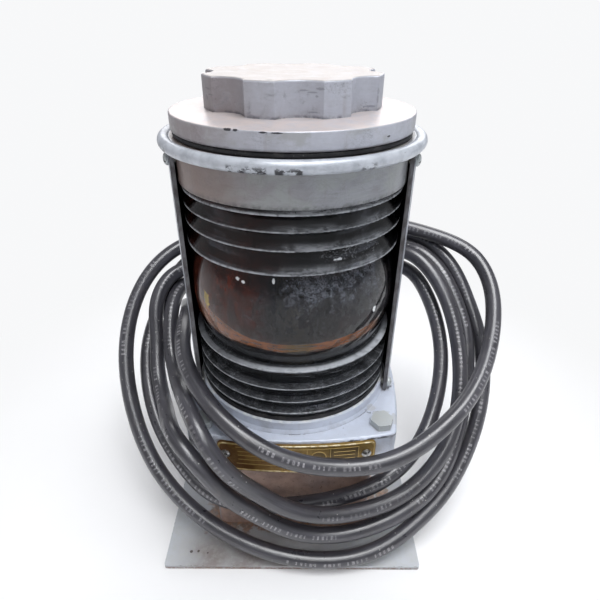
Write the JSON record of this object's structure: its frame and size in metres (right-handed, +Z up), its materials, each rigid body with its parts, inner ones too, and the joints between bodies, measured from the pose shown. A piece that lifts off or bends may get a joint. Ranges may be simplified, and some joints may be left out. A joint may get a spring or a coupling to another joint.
{
  "type": "navigation light",
  "caption": "Fixed navigation light with a drum lens, rear screen, screw-down cap and coiled supply cable, standing on a junction box and square base plate.",
  "frame": {"origin": "centre of the base plate's underside", "axes": "+Z up along the lens axis; -Y is the lit side with the nameplate; +Y is the side with the rear screen and the cable entry; +X is to the right when the nameplate is faced"},
  "size_m": [0.2458, 0.2056, 0.2634],
  "materials": {
    "grey_paint_plate": "weathered grey paint on steel plate",
    "grey_paint_box": "weathered grey paint on cast box",
    "grey_paint_casting": "weathered grey paint on casting",
    "grey_paint_ring": "weathered light grey paint, worn",
    "cap_metal": "cast, dull, stained",
    "screen_paint": "matt black inside, grey outside",
    "bolt_paint": "painted over with the casting",
    "stainless": "satin",
    "label_brass": "dull, bordered",
    "gasket_rubber": "matt",
    "lens_glass": "moulded, dusty outside",
    "bulb_glass": "clear",
    "pedestal_metal": "cast, bare",
    "socket_brass": "bright, slightly tarnished",
    "phenolic": "dark brown moulding",
    "spring_steel": "bright",
    "solder": "dull solder",
    "tungsten": "dark wire",
    "tinned_copper": "tinned",
    "nylon_black": "moulded",
    "cable_jacket": "satin, dusty",
    "core_black": "satin insulation",
    "core_white": "satin insulation",
    "core_green": "satin insulation",
    "bare_copper": "stranded copper"
  },
  "bodies": {
    "housing": {"mounting_plate": "grey_paint_plate", "base_box": "grey_paint_box", "base_casting": "grey_paint_casting", "top_ring": "grey_paint_ring", "rear_screen": "screen_paint", "platform_bolts": "bolt_paint", "screen_screws": "bolt_paint", "plate_screws": "stainless", "nameplate_screws": "stainless", "pedestal_screws": "stainless", "tie_rods": "stainless", "tie_rod_nuts": "stainless", "terminal_screws": "stainless", "block_screws": "stainless", "ground_screw": "stainless", "nameplate": "label_brass", "base_gasket": "gasket_rubber", "lower_lens_gasket": "gasket_rubber", "upper_lens_gasket": "gasket_rubber", "gland_grommet": "gasket_rubber", "gland_washer": "gasket_rubber", "fresnel_lens": "lens_glass", "lamp_pedestal": "pedestal_metal", "lamp_socket": "socket_brass", "terminal_plates": "socket_brass", "socket_insulator": "phenolic", "terminal_block": "phenolic", "contact_springs": "spring_steel", "wire_lugs": "tinned_copper", "gland_body": "nylon_black", "gland_locknut": "nylon_black", "gland_nut": "nylon_black", "power_cable": "cable_jacket", "wire_black": "core_black", "lamp_lead_live": "core_black", "tail_black": "core_black", "wire_white": "core_white", "lamp_lead_neutral": "core_white", "tail_white": "core_white", "wire_green": "core_green", "tail_green": "core_green", "tail_strands": "bare_copper"},
    "cap_seal": {"cap_gasket": "gasket_rubber"},
    "cap_body": {"cap": "cap_metal"},
    "contacts": {"contact_plungers": "socket_brass"},
    "lamp": {"lamp_base": "socket_brass", "lamp_contacts": "solder", "lamp_pins": "socket_brass", "lamp_glass": "bulb_glass", "lamp_stem": "bulb_glass", "lamp_supports": "spring_steel", "lamp_filament": "tungsten"}
  },
  "joints": [
    {"name": "cap_lift", "type": "slide", "parent": "housing", "child": "cap_seal", "axis": [0, 0, 1], "range_m": [0, 0.0075]},
    {"name": "cap_turn", "type": "hinge", "parent": "cap_seal", "child": "cap_body", "pos_m": [0, 0, 0.2405], "axis": [0, 0, 1], "range_deg": [0, 900]},
    {"name": "lamp_press", "type": "slide", "parent": "housing", "child": "contacts", "axis": [0, 0, 1], "range_m": [-0.002, 0], "deforming": ["contact_springs"]},
    {"name": "lamp_turn", "type": "hinge", "parent": "contacts", "child": "lamp", "pos_m": [0, 0, 0.133], "axis": [0, 0, 1], "range_deg": [0, 20]}
  ],
  "couplings": [
    {"joint": "cap_lift", "follows": "cap_turn", "m_per_rad": 0.00047746}
  ]
}
